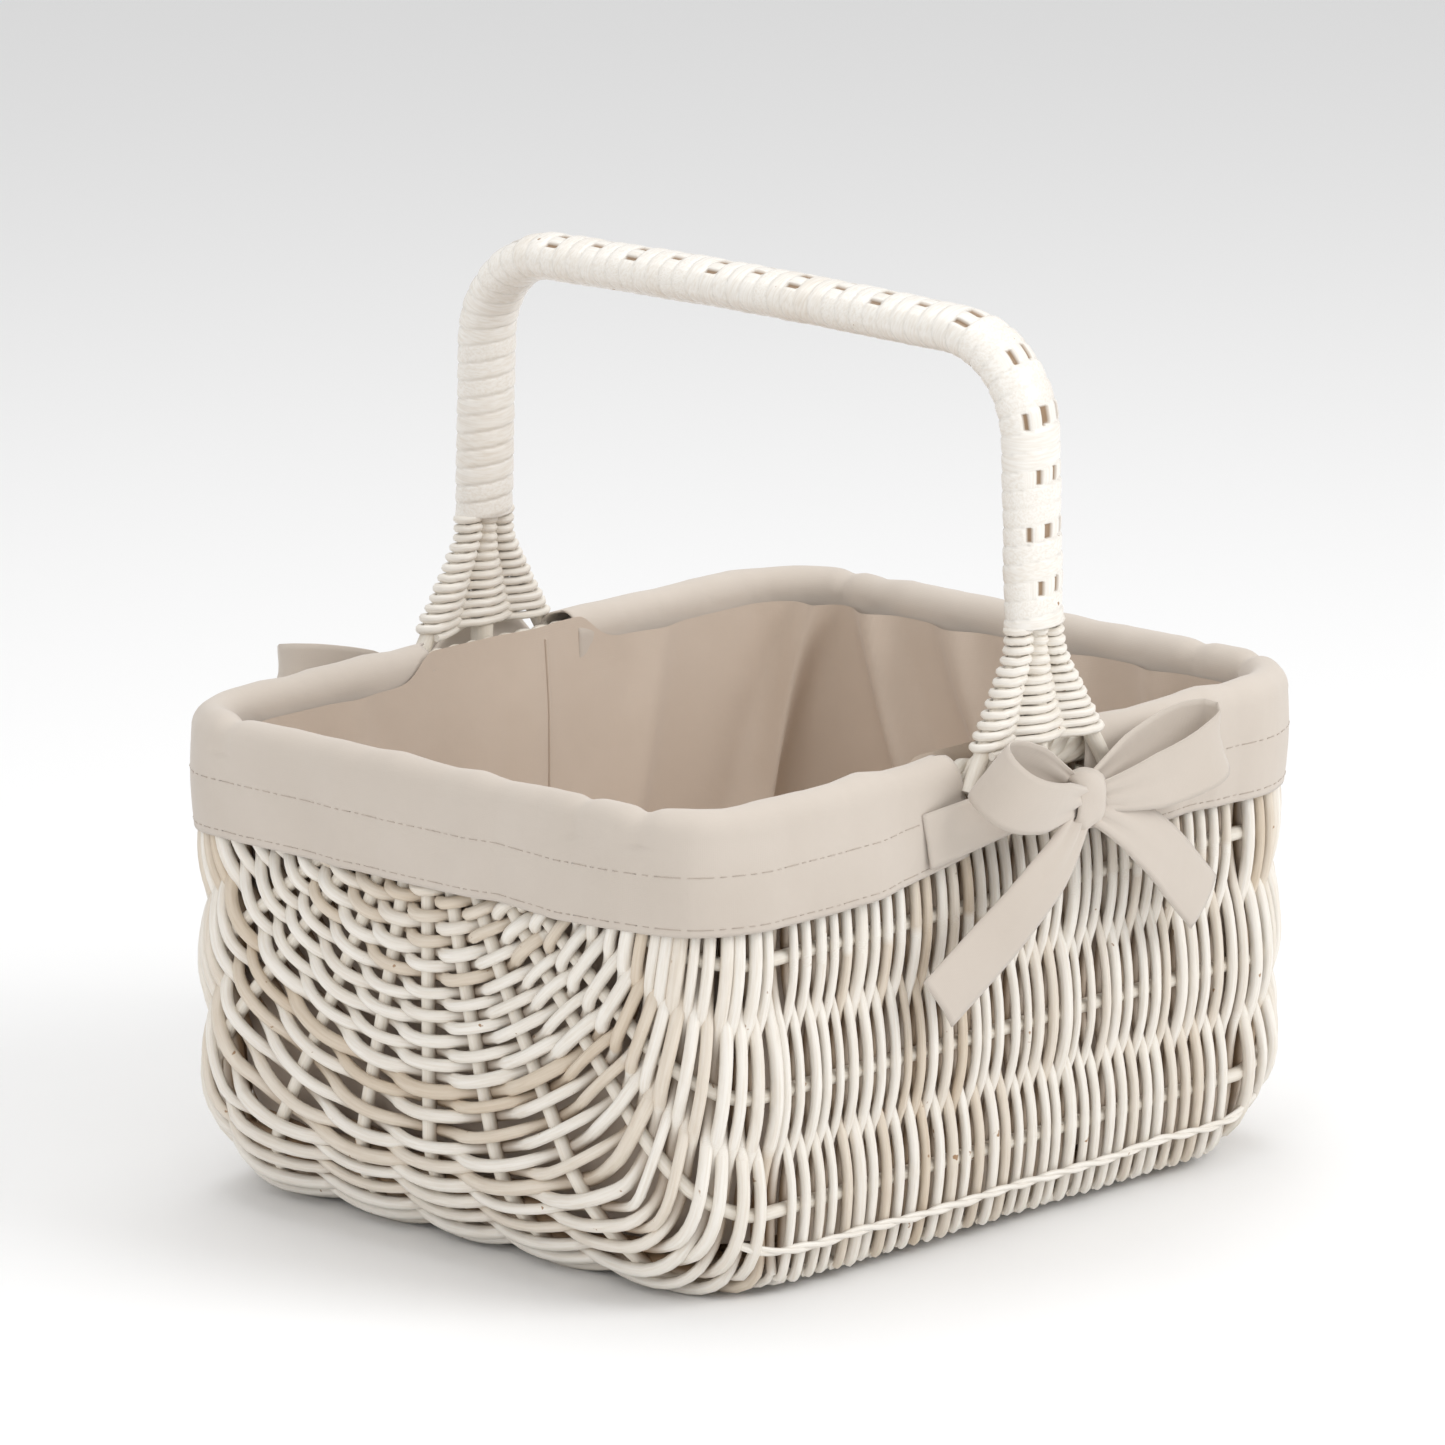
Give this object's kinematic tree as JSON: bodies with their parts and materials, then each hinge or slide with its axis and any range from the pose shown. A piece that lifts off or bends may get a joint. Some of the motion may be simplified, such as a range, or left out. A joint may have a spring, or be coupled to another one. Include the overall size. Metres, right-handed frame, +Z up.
{
  "type": "lined willow basket",
  "caption": "White painted willow basket for laundry or storage, with a fixed wrapped bow handle and a beige cotton lining turned over the rim and tied in two bows.",
  "frame": {"origin": "middle of the underside, on the floor", "axes": "+X along the long side, +Y across towards the back long side, +Z up towards the grip"},
  "size_m": [0.429, 0.39, 0.417],
  "materials": {
    "willow_weave": "satin white paint on thin willow",
    "willow_rods": "satin white paint on willow rods",
    "willow_skein": "glossy white paint on split willow",
    "lining_cloth": "matt plain cotton",
    "cuff_cloth": "matt plain cotton"
  },
  "bodies": {
    "root": {"weave_end_left": "willow_weave", "weave_end_right": "willow_weave", "weave_side_front": "willow_weave", "weave_side_back": "willow_weave", "weave_base": "willow_weave", "foot_twist_front": "willow_weave", "foot_twist_back": "willow_weave", "rib_keel": "willow_rods", "rib_inner_front": "willow_rods", "rib_inner_back": "willow_rods", "rib_outer_front": "willow_rods", "rib_outer_back": "willow_rods", "rib_lower_front": "willow_rods", "rib_lower_back": "willow_rods", "rib_middle_front": "willow_rods", "rib_middle_back": "willow_rods", "rib_upper_front": "willow_rods", "rib_upper_back": "willow_rods", "rim_roll": "willow_rods", "handle_hoop": "willow_rods", "handle_rod_left": "willow_rods", "handle_rod_right": "willow_rods", "handle_wrap": "willow_skein", "handle_foot_front": "willow_weave", "handle_foot_back": "willow_weave", "lining_bag": "lining_cloth", "cuff_left": "cuff_cloth", "cuff_right": "cuff_cloth", "tie_front_left": "cuff_cloth", "tie_front_right": "cuff_cloth", "tie_back_left": "cuff_cloth", "tie_back_right": "cuff_cloth"}
  },
  "joints": []
}
